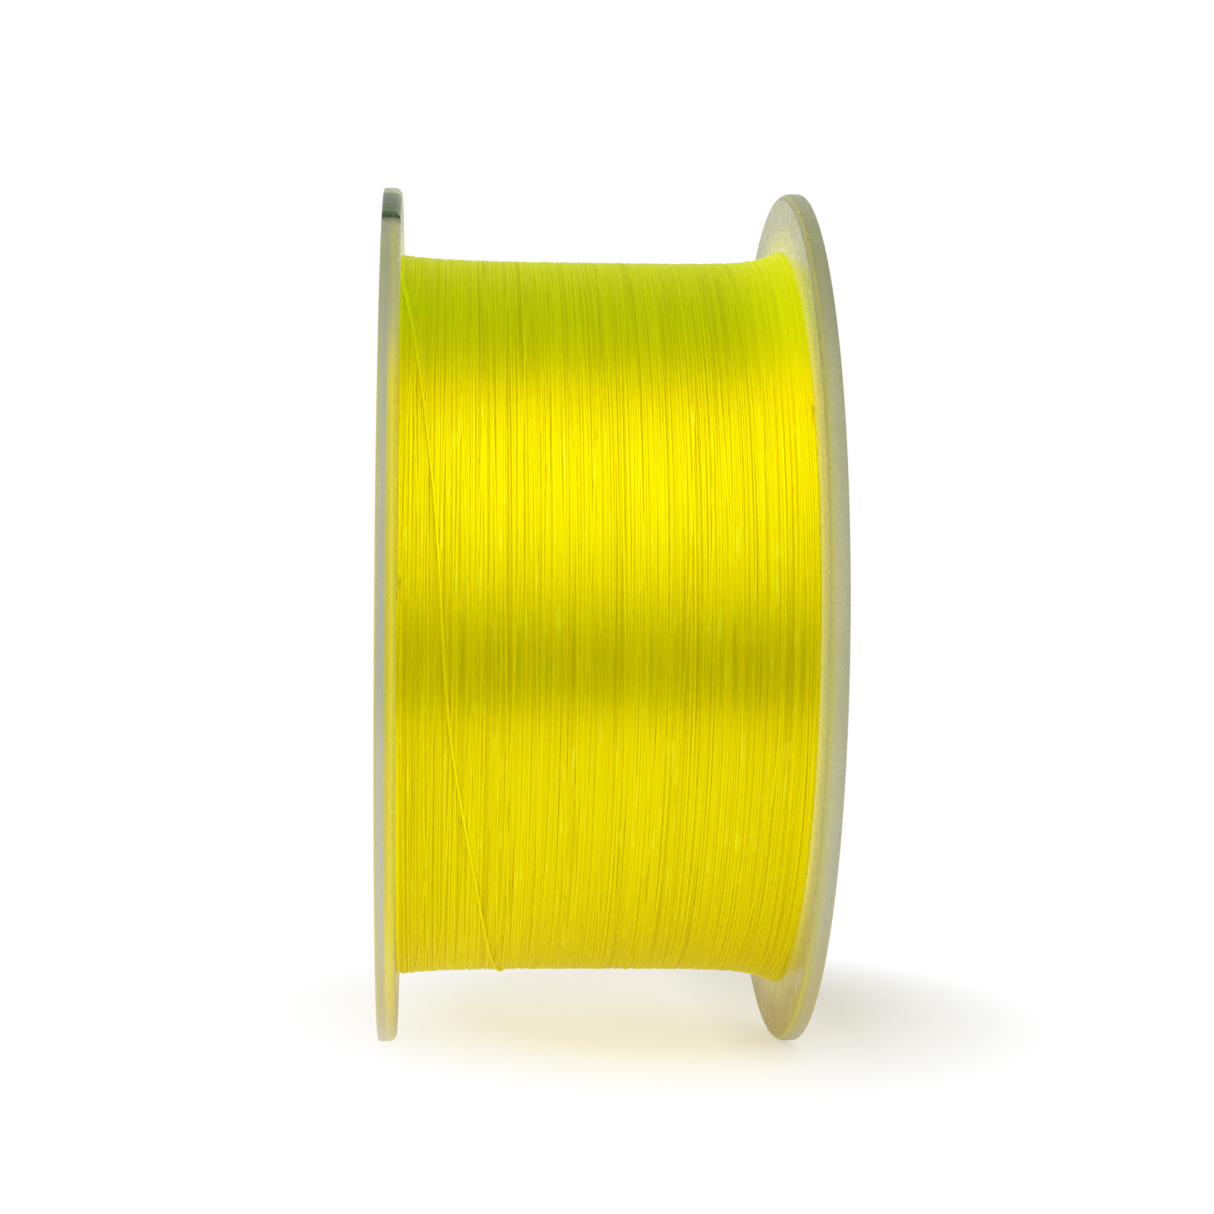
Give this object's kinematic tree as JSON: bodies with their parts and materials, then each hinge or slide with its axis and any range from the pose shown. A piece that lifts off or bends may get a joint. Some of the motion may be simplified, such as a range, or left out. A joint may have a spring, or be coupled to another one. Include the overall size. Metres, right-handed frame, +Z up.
{
  "type": "fishing line spool",
  "caption": "Free-standing spool of yellow monofilament fishing line, wound between clear plastic flanges on a hollow core with a central bore.",
  "frame": {"origin": "centre of the bore, midway between the two flanges", "axes": "+X along the bore's axis, away from the flange with the line slit; +Z up as it stands on its rims; -Y is the front, and the slit opens upwards and to the front"},
  "size_m": [0.0388, 0.08, 0.08],
  "materials": {
    "clear_flange": "clear moulded polystyrene, slightly milky, glossy faces and a duller rim",
    "core_plastic": "white moulded polystyrene",
    "line": "bright yellow nylon monofilament, translucent and glossy",
    "label_paper": "plain white coated paper with a printed ring",
    "tape": "thin adhesive film"
  },
  "bodies": {
    "root": {"left_flange": "clear_flange", "right_flange": "clear_flange", "core_barrel": "core_plastic", "arbor_tube": "core_plastic", "start_tape": "tape", "line_winding": "line", "line_last_turn": "line", "left_label": "label_paper", "right_label": "label_paper"}
  },
  "joints": []
}
